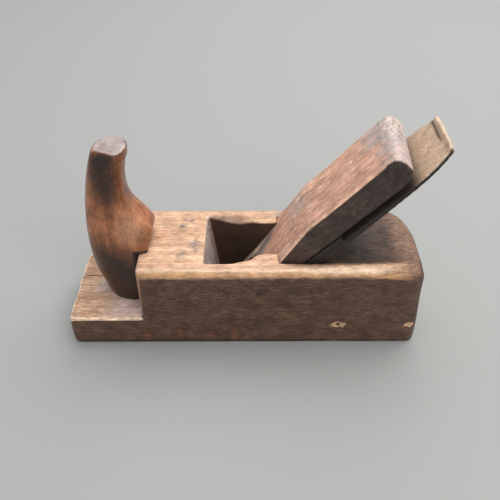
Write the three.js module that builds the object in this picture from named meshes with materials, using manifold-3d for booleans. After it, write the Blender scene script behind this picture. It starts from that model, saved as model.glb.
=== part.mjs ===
// A horned wooden smoothing plane: a hardwood stock with a low toe and a horn, a double iron on a
// steep bed, and a forked wooden wedge that two abutments in the cheeks hold down.
// Millimetres. X runs from toe to heel, Y across the stock, Z up from the sole.
import * as THREE from "three";
import { mergeVertices } from "three/addons/utils/BufferGeometryUtils.js";
import Module from "manifold-3d";

const wasm = await Module();
wasm.setup();

// ---- Driving dimensions ----
const GAP = 0.3; // between pieces that rest on each other

// Stock
const LENGTH = 236.5;
const WIDTH = 69.5;
const HEIGHT = 65.4;
const TOP_ROUND = 6; // long top edges, worn round by hands
const SOLE_ROUND = 0.5;
const HEEL_ROUND = 13; // top edge of the heel
const TOE_ROUND = 5; // lower front edge
const HEEL_CORNER = { along: 28, across: 42.5 }; // far corner of the heel, worn to an ellipse
const SMALL_CORNER = 4;
const HEEL_NEAR_CORNER = 6;
const TOE_FAR_CORNER = 8;
const TOE_HEIGHT = 24.35; // the low toe that the horn stands on
const STEP_X = -68; // wall between the low toe and the body
const STEP_CHAMFER = { along: 3.5, across: 5.5, foot: 0.6 };

// Bed, throat and mouth
const BED_ANGLE = THREE.MathUtils.degToRad(49.34);
const BED_FOOT_X = -2.17; // where the bed would meet the sole
const SLOT_HALF = 24.55; // half width of the slot for iron and wedge
const THROAT_TOP_X = -25.1; // front wall of the throat at the top
const FRONT_WALL_LEAN = 0.125;
const CHEEK_LEAN = -0.1;
const CHEEK_START_X = -9; // the cheeks run in from here ...
const CHEEK_END_X = 16; // ... to the full depth of the abutments here
const ABUTMENT = { near: -14.8, far: 17.2 }; // inner faces of the two abutments
const GROOVE = { half: 9.5, depth: 5.5, low: 44 }; // in the bed, for the head of the cap screw

// Horn
const HORN_TOP = 137;
const TONGUE = { root: 6, tip: 8.5, depth: 5 }; // half widths of the dovetailed tongue

// Wedge, in bed coordinates: s up the bed, t square to it
const WEDGE_HALF = 23.6;
const WEDGE_TIP_S = 19;
const WEDGE_CREST_S = 97; // the front face turns here
const WEDGE_CREST_T = 27;
const WEDGE_FRONT_SLOPE = 0.1487;
const WEDGE_BACK_SLOPE = -0.0434;
const WEDGE_BACK_T = 12.91; // back face at s = 0
const WEDGE_END = { start: 154, skew: 4 }; // the struck end runs out longer on the far side
const FORK = { base: 35, half: 16.4 };
const FORK_BEVEL = { start: 64, meet: 43, half: 17.5, fall: 0.12 };

// Irons, in bed coordinates
const IRON_HALF = 24;
const IRON_EDGE = { s: -4.48, t: 5.6 };
const IRON_BEVEL_S = 6.5; // heel of the ground bevel
const IRON_SLOT = { low: 46, high: 112, half: 5.5, eye: 10 };
const CAP_HALF = 23.5;
const SCREW_S = 60;
const SCREW = { head: 8.5, headTop: -0.35, headLow: -4.4, shank: 3.9, bore: 4.15, end: 9.1 };

// Cheek nail
const NAIL = { x: 23.4, y: 26.4, radius: 0.95, bore: 1.25, length: 14 };

// ---- Shaping helpers ----
// Each axis of extrusion as a turn that keeps outlines the right way round.
const axis = (...v) => new THREE.Vector3(...v);
const BASIS = {
  x: new THREE.Matrix4().makeBasis(axis(0, 1, 0), axis(0, 0, 1), axis(1, 0, 0)),
  y: new THREE.Matrix4().makeBasis(axis(1, 0, 0), axis(0, 0, 1), axis(0, -1, 0)),
  z: new THREE.Matrix4(),
};

// Outline of straight runs through the given points.
const outline = (points) => new THREE.Shape(points.map(([a, b]) => new THREE.Vector2(a, b)));

// Outline extruded along an axis between two places; y outlines are (x, z), x outlines (y, z).
function prism(shape, along, from, to, curveSegments = 8) {
  const geometry = new THREE.ExtrudeGeometry(shape, {
    depth: to - from,
    bevelEnabled: false,
    curveSegments,
  });
  geometry.applyMatrix4(BASIS[along]);
  const shift = { x: [from, 0, 0], y: [0, to, 0], z: [0, 0, from] }[along];
  return geometry.translate(...shift);
}

// Moves every vertex by a rule of its own place.
function warp(geometry, rule) {
  const place = geometry.attributes.position;
  const p = new THREE.Vector3();
  for (let i = 0; i < place.count; i++) {
    p.fromBufferAttribute(place, i);
    rule(p);
    place.setXYZ(i, p.x, p.y, p.z);
  }
  return geometry;
}

function solid(geometry) {
  const bare = geometry.clone();
  bare.deleteAttribute("normal");
  bare.deleteAttribute("uv");
  const merged = mergeVertices(bare, 1e-4);
  const mesh = new wasm.Mesh({
    numProp: 3,
    vertProperties: merged.attributes.position.array,
    triVerts: new Uint32Array(merged.index.array),
  });
  return new wasm.Manifold(mesh);
}

function geometryOf(manifold) {
  const { vertProperties, triVerts } = manifold.getMesh();
  const geometry = new THREE.BufferGeometry();
  geometry.setAttribute("position", new THREE.BufferAttribute(vertProperties, 3));
  geometry.setIndex(new THREE.BufferAttribute(triVerts, 1));
  const flat = geometry.toNonIndexed();
  flat.computeVertexNormals();
  return flat;
}

function piece(name, manifold, color, roughness, metalness = 0) {
  const material = new THREE.MeshStandardMaterial({ color, roughness, metalness });
  const mesh = new THREE.Mesh(geometryOf(manifold), material);
  mesh.name = name;
  return mesh;
}

// Bed coordinates to stock coordinates: s climbs the bed, t stands square to it.
const BED = new THREE.Matrix4()
  .makeTranslation(BED_FOOT_X, 0, 0)
  .multiply(new THREE.Matrix4().makeRotationY(-BED_ANGLE));
const onBed = (geometry) => geometry.clone().applyMatrix4(BED);

const wedgeFront = (s) => WEDGE_CREST_T + WEDGE_FRONT_SLOPE * (s - WEDGE_CREST_S);
const wedgeBack = (s) => WEDGE_BACK_T + WEDGE_BACK_SLOPE * s;

// ---- Stock ----
function stockSide() {
  const end = LENGTH / 2;
  const shape = new THREE.Shape();
  shape.moveTo(-end + TOE_ROUND, 0);
  shape.lineTo(end - SMALL_CORNER, 0);
  shape.quadraticCurveTo(end, 0, end, SMALL_CORNER);
  shape.lineTo(end, HEIGHT - HEEL_ROUND);
  shape.quadraticCurveTo(end, HEIGHT, end - HEEL_ROUND, HEIGHT);
  shape.lineTo(STEP_X, HEIGHT);
  shape.lineTo(STEP_X, TOE_HEIGHT);
  shape.lineTo(-end, TOE_HEIGHT);
  shape.lineTo(-end, TOE_ROUND);
  shape.quadraticCurveTo(-end, 0, -end + TOE_ROUND, 0);
  return prism(shape, "y", -WIDTH, WIDTH);
}

function stockPlan() {
  const end = LENGTH / 2;
  const side = WIDTH / 2;
  const { along, across } = HEEL_CORNER;
  const shape = new THREE.Shape();
  shape.moveTo(-end + SMALL_CORNER, -side);
  shape.lineTo(end - HEEL_NEAR_CORNER, -side);
  shape.quadraticCurveTo(end, -side, end, -side + HEEL_NEAR_CORNER);
  shape.lineTo(end, side - across);
  shape.absellipse(end - along, side - across, along, across, 0, Math.PI / 2, false, 0);
  shape.lineTo(-end + TOE_FAR_CORNER, side);
  shape.quadraticCurveTo(-end, side, -end, side - TOE_FAR_CORNER);
  shape.lineTo(-end, -side + SMALL_CORNER);
  shape.quadraticCurveTo(-end, -side, -end + SMALL_CORNER, -side);
  return prism(shape, "z", -1, HEIGHT + 1, 12);
}

function stockSection() {
  const side = WIDTH / 2;
  const shape = new THREE.Shape();
  shape.moveTo(-side + SOLE_ROUND, 0);
  shape.lineTo(side - SOLE_ROUND, 0);
  shape.lineTo(side, SOLE_ROUND);
  shape.lineTo(side, HEIGHT - TOP_ROUND);
  shape.absarc(side - TOP_ROUND, HEIGHT - TOP_ROUND, TOP_ROUND, 0, Math.PI / 2);
  shape.lineTo(-side + TOP_ROUND, HEIGHT);
  shape.absarc(-side + TOP_ROUND, HEIGHT - TOP_ROUND, TOP_ROUND, Math.PI / 2, Math.PI);
  shape.lineTo(-side, SOLE_ROUND);
  return prism(shape, "x", -LENGTH, LENGTH, 6);
}

// Corner cut on the upright edge of the step, narrower at its foot.
function stepChamfer(side) {
  const { along, across, foot } = STEP_CHAMFER;
  const corner = outline([[-1, -across], [along, 1], [-1, 1]]);
  const cut = prism(corner, "z", 0, HEIGHT - TOE_HEIGHT + 1);
  warp(cut, (p) => {
    const size = p.z > 0 ? 1 : foot;
    p.set(STEP_X + p.x * size, (WIDTH / 2 + p.y * size) * side, TOE_HEIGHT + p.z);
  });
  return side > 0 ? cut : flipped(cut);
}

// A mirrored geometry has its faces inside out, so each triangle is turned round.
function flipped(geometry) {
  const turned = geometry.index ? geometry.toNonIndexed() : geometry;
  const a = turned.attributes.position;
  const p = new THREE.Vector3();
  const q = new THREE.Vector3();
  for (let i = 0; i < a.count; i += 3) {
    p.fromBufferAttribute(a, i + 1);
    q.fromBufferAttribute(a, i + 2);
    a.setXYZ(i + 1, q.x, q.y, q.z);
    a.setXYZ(i + 2, p.x, p.y, p.z);
  }
  return turned;
}

// Half width of the throat: full at the front, running in to the abutment in an S.
function cheekAt(x, inner) {
  const run = THREE.MathUtils.smoothstep(x, CHEEK_START_X, CHEEK_END_X);
  return THREE.MathUtils.lerp(SLOT_HALF * Math.sign(inner), inner, run);
}

// The throat before the wedge, with leaning front wall and cheeks.
function throatCut() {
  const steps = 12;
  const far = [];
  const near = [];
  for (let i = 0; i <= steps; i++) {
    const x = THREE.MathUtils.lerp(CHEEK_START_X, CHEEK_END_X, i / steps);
    far.push([x, cheekAt(x, ABUTMENT.far)]);
    near.push([x, cheekAt(x, ABUTMENT.near)]);
  }
  const plan = outline([
    [THROAT_TOP_X, -SLOT_HALF],
    ...near,
    [70, ABUTMENT.near],
    [70, ABUTMENT.far],
    ...far.reverse(),
    [THROAT_TOP_X, SLOT_HALF],
  ]);
  const cut = prism(plan, "z", -1, HEIGHT + 1);
  return warp(cut, (p) => {
    const back = THREE.MathUtils.clamp((p.x - THROAT_TOP_X) / (CHEEK_START_X - THROAT_TOP_X), 0, 1);
    p.x += THREE.MathUtils.lerp(FRONT_WALL_LEAN, CHEEK_LEAN, back) * (HEIGHT - p.z);
  });
}

// Everything above the bed, and the part of it behind the abutments.
function aboveBed() {
  return onBed(prism(outline([[-60, -GAP], [130, -GAP], [130, 90], [-60, 90]]), "y", -50, 50));
}

function wedgeSlot() {
  const side = [
    [-40, -GAP],
    [120, -GAP],
    [120, wedgeFront(120) + GAP],
    [-40, wedgeFront(-40) + GAP],
  ];
  return onBed(prism(outline(side), "y", -SLOT_HALF, SLOT_HALF));
}

function screwGroove() {
  const { half, depth, low } = GROOVE;
  const shape = new THREE.Shape();
  shape.moveTo(130, -half);
  shape.lineTo(130, half);
  shape.lineTo(low + half, half);
  shape.absarc(low + half, 0, half, Math.PI / 2, Math.PI * 1.5);
  return onBed(prism(shape, "z", -depth, 1));
}

function tongue(grow, low, high) {
  const { root, tip, depth } = TONGUE;
  const shape = outline([
    [STEP_X - 2, -root - grow],
    [STEP_X + depth + grow, -tip - grow],
    [STEP_X + depth + grow, tip + grow],
    [STEP_X - 2, root + grow],
  ]);
  return solid(prism(shape, "z", low, high));
}

function stock() {
  let block = solid(stockSide()).intersect(solid(stockPlan())).intersect(solid(stockSection()));
  for (const side of [-1, 1]) block = block.subtract(solid(stepChamfer(side)));
  const throat = solid(throatCut()).intersect(solid(aboveBed()));
  const nailHole = new THREE.CylinderGeometry(NAIL.bore, NAIL.bore, NAIL.length * 2 + 2, 16)
    .rotateX(Math.PI / 2)
    .translate(NAIL.x, NAIL.y, HEIGHT);
  return block
    .subtract(throat)
    .subtract(solid(wedgeSlot()))
    .subtract(solid(screwGroove()))
    .subtract(tongue(0, TOE_HEIGHT + 3, HEIGHT + 1))
    .subtract(solid(nailHole));
}

// ---- Horn ----
// Front and back outlines from foot to top, and how wide and how square each section is.
const HORN_FRONT = [[-94.5, 24.65], [-97.8, 36], [-100.6, 50], [-101.4, 66], [-100.6, 84],
  [-97.7, 105], [-93.9, 121], [-88.6, HORN_TOP - 0.5]];
const HORN_BACK = [[-55.5, 24.65], [-55.5, 40], [-55.5, 56], [-54.5, 70], [-59.5, 82],
  [-70, 98.5], [-71.2, 118], [-67, HORN_TOP + 0.5]];
const HORN_HALF = [17.3, 17.2, 17, 16.8, 16.6, 15.2, 13.8, 13.3];
const HORN_SQUARE = [2.1, 2.3, 2.8, 3.2, 3.1, 2.5, 2.2, 2.1];

const curveOf = (points) =>
  new THREE.CatmullRomCurve3(points.map(([x, z]) => new THREE.Vector3(x, 0, z)));

function along(values, v) {
  const at = v * (values.length - 1);
  const i = Math.min(Math.floor(at), values.length - 2);
  return THREE.MathUtils.lerp(values[i], values[i + 1], at - i);
}

// A round bar whose rings are set to the horn's sections.
function hornBody() {
  const front = curveOf(HORN_FRONT);
  const back = curveOf(HORN_BACK);
  const bar = new THREE.CylinderGeometry(1, 1, 1, 32, 28);
  return warp(bar, (p) => {
    const v = p.y + 0.5;
    const f = front.getPoint(v);
    const b = back.getPoint(v);
    const radius = Math.hypot(p.x, p.z);
    const turn = Math.atan2(p.z, p.x);
    const power = 2 / along(HORN_SQUARE, v);
    const reach = radius * Math.sign(Math.cos(turn)) * Math.abs(Math.cos(turn)) ** power;
    const spread = radius * Math.sign(Math.sin(turn)) * Math.abs(Math.sin(turn)) ** power;
    p.lerpVectors(f, b, (1 + reach) / 2);
    p.y = -spread * along(HORN_HALF, v);
  });
}

// What the stock takes away: below the lip up to the wall, and the upright end of the lip.
function hornSeat() {
  const below = prism(
    outline([[STEP_X - GAP, 0], [0, 0], [0, HEIGHT + GAP], [STEP_X - GAP, HEIGHT + GAP]]),
    "y", -40, 40,
  );
  const lipEnd = prism(
    outline([[-61.8, 60], [0, 60], [0, 84], [-57.2, 84], [-58.1, 78.8], [-61.8, HEIGHT]]),
    "y", -40, 40,
  );
  return solid(below).add(solid(lipEnd));
}

function horn() {
  const shaped = solid(hornBody()).subtract(hornSeat());
  return shaped.add(tongue(-GAP, TOE_HEIGHT + 3 + GAP, HEIGHT + GAP + 0.5));
}

// ---- Wedge ----
function wedgeSide() {
  const shape = new THREE.Shape();
  shape.moveTo(WEDGE_TIP_S, wedgeBack(WEDGE_TIP_S));
  shape.lineTo(WEDGE_END.start, wedgeBack(WEDGE_END.start));
  shape.bezierCurveTo(162, wedgeBack(160), 167.4, 9, 167.4, 15);
  shape.bezierCurveTo(167.4, 22, 166, 25.3, 160, 25.4);
  shape.lineTo(125, 26);
  shape.lineTo(WEDGE_CREST_S, WEDGE_CREST_T);
  shape.lineTo(WEDGE_TIP_S, wedgeFront(WEDGE_TIP_S));
  const bar = prism(shape, "y", -WEDGE_HALF, WEDGE_HALF);
  return warp(bar, (p) => {
    const out = Math.max(0, p.x - WEDGE_END.start) / 13;
    p.x += (out * WEDGE_END.skew * (p.y + WEDGE_HALF)) / (2 * WEDGE_HALF);
  });
}

// Sloping cut on one side of the fork, so that shavings are turned inwards.
function forkBevel(side) {
  const { start, meet, half, fall } = FORK_BEVEL;
  const low = FORK.base - 5;
  const reach = Math.hypot(start - meet, half);
  const cut = prism(outline([[start, half], [meet, 0], [low, 0], [low, half]]), "z", 0, 1);
  warp(cut, (p) => {
    const off = (half * (start - p.x) - (start - meet) * (half - p.y)) / reach;
    p.z = p.z > 0 ? 40 : wedgeFront(p.x) - fall * off;
    p.y *= side;
  });
  return solid(side > 0 ? cut : flipped(cut));
}

function wedge() {
  const { base, half } = FORK;
  const notch = prism(
    outline([[0, -half], [base, -half], [base, half], [0, half]]), "z", 0, 40);
  return solid(wedgeSide())
    .subtract(solid(notch))
    .subtract(forkBevel(1))
    .subtract(forkBevel(-1));
}

// ---- Irons ----
function ironSide() {
  const shape = outline([
    [IRON_BEVEL_S, 0],
    [187.9, 0],
    [189.2, 1.2],
    [189, 3.4],
    [187.4, 3.6],
    [185.8, 2.6],
    [148.7, 2.6],
    [81.5, 4.7],
    [IRON_EDGE.s, IRON_EDGE.t],
  ]);
  return prism(shape, "y", -IRON_HALF - 1, IRON_HALF + 1);
}

// Seen square to the bed: parallel sides that draw in towards the struck end.
function ironFace() {
  const half = IRON_HALF;
  const shape = new THREE.Shape();
  shape.moveTo(-10, -half);
  shape.lineTo(162, -half);
  shape.quadraticCurveTo(178, -half + 0.5, 189.2, -17.6);
  shape.lineTo(189.2, 17.6);
  shape.quadraticCurveTo(178, half - 0.5, 162, half);
  shape.lineTo(-10, half);
  return prism(shape, "z", -1, 6);
}

function slotAlong(low, high, half, from, to) {
  const shape = new THREE.Shape();
  shape.absarc(high, 0, half, -Math.PI / 2, Math.PI / 2);
  shape.absarc(low, 0, half, Math.PI / 2, Math.PI * 1.5);
  return solid(prism(shape, "z", from, to));
}

const diskAt = (s, radius, from, to, sides = 32) =>
  solid(
    new THREE.CylinderGeometry(radius, radius, to - from, sides)
      .rotateX(Math.PI / 2)
      .translate(s, 0, (from + to) / 2),
  );

function iron() {
  const { low, high, half, eye } = IRON_SLOT;
  return solid(ironSide())
    .intersect(solid(ironFace()))
    .subtract(slotAlong(low, high, half, -1, 8))
    .subtract(diskAt(high, eye, -1, 8));
}

// Stiff plate that is humped over the edge of the iron.
function capIron() {
  const side = new THREE.Shape();
  side.moveTo(-1.6, 5.95);
  side.splineThru([new THREE.Vector2(8, 6.5), new THREE.Vector2(24, 6.4)]);
  side.lineTo(80, 5.1);
  side.lineTo(105.6, 4.3);
  side.lineTo(105.6, 7.8);
  side.lineTo(80, 8.95);
  side.lineTo(40, 10.3);
  side.splineThru([
    new THREE.Vector2(24, 10.9),
    new THREE.Vector2(10, 9.8),
    new THREE.Vector2(-1.6, 6.25),
  ]);
  return solid(prism(side, "y", -CAP_HALF, CAP_HALF, 5))
    .subtract(diskAt(SCREW_S, SCREW.bore, 0, 20));
}

function capScrew() {
  const { head, headTop, headLow, shank, end } = SCREW;
  const notch = new THREE.BoxGeometry(2 * head + 2, 1.8, 3).translate(SCREW_S, 0, headLow);
  return diskAt(SCREW_S, head, headLow, headTop)
    .add(diskAt(SCREW_S, shank, headTop - 1, end, 24))
    .subtract(solid(notch));
}

function cheekNail() {
  const { x, y, radius, length } = NAIL;
  const profile = [[0, -length], [0.3, -length + 1], [radius * 0.8, -3], [radius, -0.3], [0, 0]];
  const body = new THREE.LatheGeometry(profile.map(([r, z]) => new THREE.Vector2(r, z)), 12);
  return solid(body.rotateX(Math.PI / 2).translate(x, y, HEIGHT));
}

// ---- Assembly ----
const plane = new THREE.Group();
plane.add(
  piece("stock", stock(), 0xa9805c, 0.62),
  piece("horn", horn(), 0x7a4526, 0.38),
  piece("cheek_nail", cheekNail(), 0x2d2a28, 0.7, 1),
);

// What lies on the bed is made in bed coordinates and turned as one group.
const onTheBed = new THREE.Group();
onTheBed.position.x = BED_FOOT_X;
onTheBed.rotation.y = -BED_ANGLE;
onTheBed.add(
  piece("wedge", wedge(), 0xa37f68, 0.58),
  piece("iron", iron(), 0xa58c6c, 0.6, 0.8),
  piece("cap_iron", capIron(), 0x5f564e, 0.55, 0.9),
  piece("cap_screw", capScrew(), 0x55504a, 0.5, 0.9),
);
plane.add(onTheBed);

// The origin is the middle of the whole plane's length: the struck end overhangs the heel.
const box = new THREE.Box3().setFromObject(plane, true);
plane.position.x = -(box.min.x + box.max.x) / 2;

export default plane;
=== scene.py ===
# %% [markdown]
# # A horned smoothing plane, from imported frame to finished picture
# The real tool is a beech stock with a horn to pull it by, an iron with its cap iron on a steep
# bed, and a forked wedge that locks both. The frame already holds the true sizes and the bodies
# that move. This lesson gives each piece its worn shape and its surface.

# %% Load the frame
import itertools
import math

import bmesh
import bpy
import numpy as np
from mathutils import Matrix, Vector


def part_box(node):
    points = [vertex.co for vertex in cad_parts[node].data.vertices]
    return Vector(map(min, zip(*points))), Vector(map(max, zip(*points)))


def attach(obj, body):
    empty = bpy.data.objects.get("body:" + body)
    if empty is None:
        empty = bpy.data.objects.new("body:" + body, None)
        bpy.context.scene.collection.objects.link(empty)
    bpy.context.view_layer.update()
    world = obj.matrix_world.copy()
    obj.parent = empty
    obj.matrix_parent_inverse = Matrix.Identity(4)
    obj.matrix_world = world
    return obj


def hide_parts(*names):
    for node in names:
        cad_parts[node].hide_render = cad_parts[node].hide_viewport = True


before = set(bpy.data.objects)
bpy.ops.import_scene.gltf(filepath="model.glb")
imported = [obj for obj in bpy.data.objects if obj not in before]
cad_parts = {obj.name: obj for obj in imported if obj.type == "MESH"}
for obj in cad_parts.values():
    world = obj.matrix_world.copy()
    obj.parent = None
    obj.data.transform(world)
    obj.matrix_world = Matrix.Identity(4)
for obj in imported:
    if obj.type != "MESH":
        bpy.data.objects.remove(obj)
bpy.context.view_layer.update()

# %% [markdown]
# Makers measure in millimetres from the stock, so the lesson does too. Every place below is in
# millimetres from the middle of the stock's sole: X runs from toe to heel, Y to the far side and
# Z up. The irons and the wedge lie on the bed, where it is easier to say how far up the bed a
# place is (s) and how far off it (t).

# %% Millimetres, stock and bed
MM = 0.001
stock_low, stock_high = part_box("stock")
MIDDLE = np.array([(stock_low.x + stock_high.x) / 2 / MM, 0.0, 0.0])
HEIGHT = stock_high.z / MM
HALF_WIDTH = stock_high.y / MM
HALF_LENGTH = (stock_high.x - stock_low.x) / 2 / MM
# The bed rises at this angle from this X on the sole.
BED_ANGLE = math.radians(49.34)
BED_FOOT = -2.17
UP_BED = np.array([math.cos(BED_ANGLE), 0, math.sin(BED_ANGLE)])
OFF_BED = np.array([-math.sin(BED_ANGLE), 0, math.cos(BED_ANGLE)])


def on_bed(places):
    """How far up the bed and how far off it places lie."""
    from_foot = places - np.array([BED_FOOT, 0, 0])
    return from_foot @ UP_BED, from_foot @ OFF_BED


print("stock, mm:", round(2 * HALF_LENGTH, 1), round(2 * HALF_WIDTH, 1), round(HEIGHT, 1))

# %% [markdown]
# The camera stands where a person at the bench would: in front of the near side and above it,
# looking down at about 41 degrees. A camera is placed by three directions, so turning it is a
# matter of building those and putting them in the columns of its matrix.

# %% Camera
CAMERA_PLACE = Vector((8.045, -301.22, 316.12)) * MM
PITCH, YAW, ROLL = (math.radians(a) for a in (40.9, -0.8, 0.77))
view = Vector((math.sin(YAW) * math.cos(PITCH), math.cos(YAW) * math.cos(PITCH), -math.sin(PITCH)))
level = Vector((math.cos(YAW), -math.sin(YAW), 0))
down = view.cross(level)
right = math.cos(ROLL) * level + math.sin(ROLL) * down
down = -math.sin(ROLL) * level + math.cos(ROLL) * down

lens = bpy.data.cameras.new("bench_camera")
lens.lens, lens.sensor_width = 42.06, 36
lens.clip_start, lens.clip_end = 0.01, 20
camera = bpy.data.objects.new("bench_camera", lens)
camera.matrix_world = Matrix((right, -down, -view)).transposed().to_4x4()
camera.location = CAMERA_PLACE
bpy.context.scene.collection.objects.link(camera)
bpy.context.scene.camera = camera
print("camera height, mm:", round(CAMERA_PLACE.z / MM))

# %% [markdown]
# Two small tools serve every finish. Paint makers and web pages give colours as sRGB hex values,
# but light adds up in linear values, so one function turns the first into the second. A material
# is a chain of nodes, and one function adds a node with its settings and its links.

# %% Colour and nodes


def linear(colour):
    """An sRGB hex colour as linear red, green, blue and alpha."""
    parts = [int(colour[i : i + 2], 16) / 255 for i in (1, 3, 5)]
    return [c / 12.92 if c <= 0.04045 else ((c + 0.055) / 1.055) ** 2.4 for c in parts] + [1.0]


def add(tree, kind, inputs=(), out=0, **settings):
    """A new node with its settings and inputs. An input is a value or another node's output."""
    made = tree.nodes.new("ShaderNode" + kind)
    for name, value in settings.items():
        setattr(made, name, value)
    for name, value in dict(inputs).items():
        if isinstance(value, bpy.types.NodeSocket):
            tree.links.new(value, made.inputs[name])
        else:
            made.inputs[name].default_value = value
    return made.outputs[out]


def new_material(name):
    """An empty material, its tree and the output that its shader goes to."""
    material = bpy.data.materials.new(name)
    material.use_nodes = True
    tree = material.node_tree
    tree.nodes.clear()
    return material, tree, tree.nodes.new("ShaderNodeOutputMaterial").inputs["Surface"]


print("mid grey in linear light:", round(linear("#808080")[0], 3))

# %% [markdown]
# The floor is a plain pale sheet of matt paper, so that nothing competes with the tool. The main
# light is a big soft box. It hangs above and a little behind, so that the top faces glow and the
# near side falls into shade. A small lamp in front and a weak even sky fill the shadows.

# %% Floor and light
FLOOR_HALF = 4.0
sheet = bpy.data.meshes.new("floor")
corners = [(-1, -1), (1, -1), (1, 1), (-1, 1)]
sheet.from_pydata([(x * FLOOR_HALF, y * FLOOR_HALF, 0) for x, y in corners], [], [(0, 1, 2, 3)])
floor = bpy.data.objects.new("floor", sheet)
bpy.context.scene.collection.objects.link(floor)
# Uncoated paper scatters light evenly, so the eye sees soft shadows and no shine.
paper, tree, surface = new_material("pale_matt_paper")
shader = {"Base Color": linear("#abacaa"), "Roughness": 0.95}
tree.links.new(add(tree, "BsdfPrincipled", shader), surface)
sheet.materials.append(paper)


def soft_light(name, place, aim, size, power, colour):
    """A square lamp of the given size in metres that hangs at a place and faces another."""
    lamp = bpy.data.lights.new(name, "AREA")
    lamp.shape, lamp.size, lamp.energy, lamp.color = "SQUARE", size, power, linear(colour)[:3]
    hung = bpy.data.objects.new(name, lamp)
    hung.location = place
    hung.rotation_euler = (Vector(aim) - Vector(place)).to_track_quat("-Z", "Y").to_euler()
    bpy.context.scene.collection.objects.link(hung)
    print(name, "is", size, "m wide and", power, "W")


soft_light("soft_box", (0.35, 0.6, 1.35), (0, 0.05, 0.03), 1.5, 19.5, "#fffdfa")
soft_light("front_fill", (0.45, -0.8, 1.0), (0, 0, 0.03), 0.8, 5.2, "#fffdfa")
sky = bpy.data.worlds.new("even_sky")
sky.use_nodes = True
sky.node_tree.nodes["Background"].inputs["Color"].default_value = linear("#f4f6fa")
sky.node_tree.nodes["Background"].inputs["Strength"].default_value = 0.55
bpy.context.scene.world = sky
bpy.context.scene.view_settings.view_transform = "Standard"

# %% [markdown]
# Old wood has no straight edge left. The CAD shape is crisp, so each wooden piece is copied and
# turned into an even net of small squares by a voxel remesh. On such a net wear is easy: every
# point can move a little towards the mean of its neighbours, which rounds arrises and leaves
# faces flat, and seeded noise says where the wear bites deeper.

# %% An even net


def fine_copy(name, node, pitch):
    """A copy of a CAD node as an even net whose squares are pitch mm wide."""
    work = bpy.data.objects.new(name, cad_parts[node].data.copy())
    bpy.context.scene.collection.objects.link(work)
    work.data.materials.clear()
    bm = bmesh.new()
    bm.from_mesh(work.data)
    bmesh.ops.remove_doubles(bm, verts=bm.verts, dist=1e-6)
    bm.to_mesh(work.data)
    bm.free()
    net = work.modifiers.new("net", "REMESH")
    net.mode, net.voxel_size, net.adaptivity = "VOXEL", pitch * MM, 0
    depsgraph = bpy.context.evaluated_depsgraph_get()
    mesh = bpy.data.meshes.new_from_object(work.evaluated_get(depsgraph))
    work.modifiers.clear()
    work.data = mesh
    print(name, "points:", len(mesh.vertices))
    return work


# %% [markdown]
# Three small measures say where wear and dirt lie: noise that is the same on every run, a ramp
# between two values and a soft spot round a place. They work on all points at once, which is
# far quicker than a loop over a hundred thousand of them.

# %% Noise, ramp and spot


def noise(places, size, seed, stretch=(1, 1, 1)):
    """Seeded smooth noise from -1 to 1, whose lumps are size mm across, times the stretch."""
    at = places / (size * np.array(stretch, float)) + 31.7 * seed
    cell = np.floor(at).astype(np.int64)
    part = at - cell
    part = part * part * (3 - 2 * part)
    total = np.zeros(len(places))
    for corner in itertools.product((0, 1), repeat=3):
        q = cell + corner
        mixed = (q[:, 0] * 73856093) ^ (q[:, 1] * 19349663) ^ (q[:, 2] * 83492791)
        mixed = ((mixed ^ (mixed >> 13)) * 1274126177 + seed * 7919) & 0x7FFFFFFF
        value = ((mixed >> 7) & 0xFFFF) / 32767.5 - 1
        total += value * np.prod(np.where(corner, part, 1 - part), axis=1)
    return total


def ramp(value, start, end):
    """0 at start, 1 at end, and smooth in between."""
    t = np.clip((value - start) / (end - start), 0, 1)
    return t * t * (3 - 2 * t)


def spot(places, centre, reach):
    """A soft patch: 1 at its centre, falling to nothing about twice its reach away."""
    return np.exp(-((((places - np.array(centre)) / np.array(reach)) ** 2).sum(1)))


print("ramp a quarter of the way:", float(ramp(0.25, 0, 1)))

# %% [markdown]
# A skin holds the points of one net. It evens them out, wears them, and stores masks: one number
# from 0 to 1 at each point, which the material reads by name. Masks could be painted by hand, but
# then they would have to be painted again after every change of shape.

# %% A skin of points


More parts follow.
